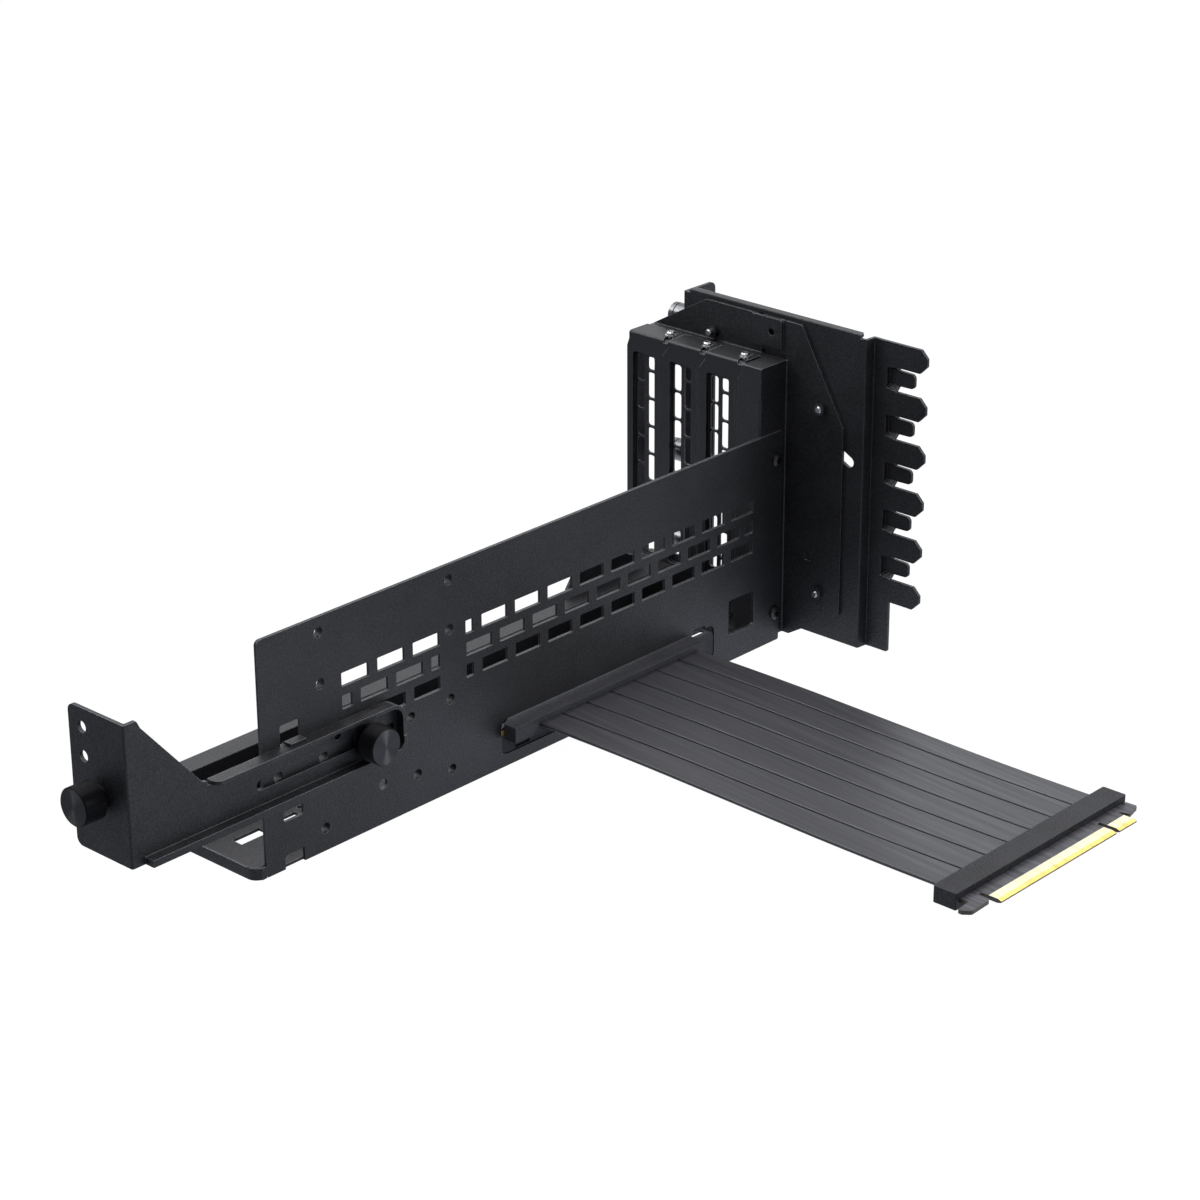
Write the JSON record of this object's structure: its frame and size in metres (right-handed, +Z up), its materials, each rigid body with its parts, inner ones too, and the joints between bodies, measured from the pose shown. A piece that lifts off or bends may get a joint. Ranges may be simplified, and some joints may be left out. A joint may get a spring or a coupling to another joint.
{
  "type": "vertical gpu bracket",
  "caption": "Upright graphics-card bracket: slotted long plate with tray, sliding support arm, slot cage with covers, finger comb plate and a flat riser ribbon.",
  "frame": {"origin": "middle of the bracket's footprint, without the free ribbon and its plug, at the surface it stands on", "axes": "+X from the arm end along the long plate to the slot cage, +Y from the plate's front to the side the card stands on, +Z up"},
  "size_m": [0.3858, 0.2849, 0.1412],
  "materials": {
    "powder_black": "fine textured black powder coat",
    "cover_black": "satin black powder coat",
    "screw_steel": "bright nickel-plated steel",
    "screw_black": "black oxide steel with worn recess",
    "knob_black": "black anodised, turned face and smooth rim",
    "nut_steel": "plated steel",
    "socket_plastic": "fine textured moulded plastic",
    "ribbon_black": "satin black ribbon insulation",
    "board_black": "black solder mask with gold edge pads",
    "standoff_brass": "turned brass"
  },
  "bodies": {
    "root": {"arm_nut": "nut_steel", "arm_washer": "nut_steel", "base_tray": "powder_black", "board_screws": "screw_steel", "board_standoffs": "standoff_brass", "cable_strip_1": "ribbon_black", "cable_strip_2": "ribbon_black", "cable_strip_3": "ribbon_black", "cable_strip_4": "ribbon_black", "cable_strip_5": "ribbon_black", "cable_strip_6": "ribbon_black", "cable_strip_7": "ribbon_black", "clamp_screws": "nut_steel", "clamp_washers": "nut_steel", "clinch_nuts": "nut_steel", "cover_rail": "powder_black", "cover_screws": "screw_steel", "gpu_plate": "powder_black", "plate_screws": "screw_black", "plug_board": "board_black", "plug_housing": "socket_plastic", "slot_cage": "powder_black", "slot_connector": "socket_plastic", "slot_cover_1": "cover_black", "slot_cover_2": "cover_black", "slot_cover_3": "cover_black", "socket_board": "board_black", "socket_cover": "socket_plastic", "socket_front": "socket_plastic"},
    "arm": {"support_arm": "powder_black"},
    "arm_knob": {"arm_knob": "knob_black"},
    "arm_end_knob": {"arm_end_knob": "knob_black"},
    "comb": {"comb_plate": "powder_black"},
    "thumb_1": {"rear_thumb_screw_1": "nut_steel"},
    "thumb_2": {"rear_thumb_screw_2": "nut_steel"},
    "thumb_3": {"rear_thumb_screw_3": "nut_steel"}
  },
  "joints": [
    {"name": "arm_slide", "type": "slide", "parent": "root", "child": "arm", "axis": [1, 0, 0], "range_m": [-0.0075, 0.034]},
    {"name": "arm_knob_turn", "type": "hinge", "parent": "root", "child": "arm_knob", "pos_m": [-0.06975, -0.0041, 0.0388], "axis": [0, -1, 0], "continuous": true},
    {"name": "arm_end_knob_turn", "type": "hinge", "parent": "arm", "child": "arm_end_knob", "pos_m": [-0.18105, 0.0094, 0.0515], "axis": [-1, 0, 0], "continuous": true},
    {"name": "comb_shift", "type": "slide", "parent": "root", "child": "comb", "axis": [0, 0.8829, 0.4695], "range_m": [0, 0.008]},
    {"name": "thumb_1_turn", "type": "hinge", "parent": "comb", "child": "thumb_1", "pos_m": [0.18275, 0.0541, 0.1252], "axis": [0, 1, 0], "continuous": true},
    {"name": "thumb_2_turn", "type": "hinge", "parent": "comb", "child": "thumb_2", "pos_m": [0.18275, 0.0541, 0.0642], "axis": [0, 1, 0], "continuous": true},
    {"name": "thumb_3_turn", "type": "hinge", "parent": "comb", "child": "thumb_3", "pos_m": [0.18275, 0.0541, 0.0236], "axis": [0, 1, 0], "continuous": true}
  ]
}
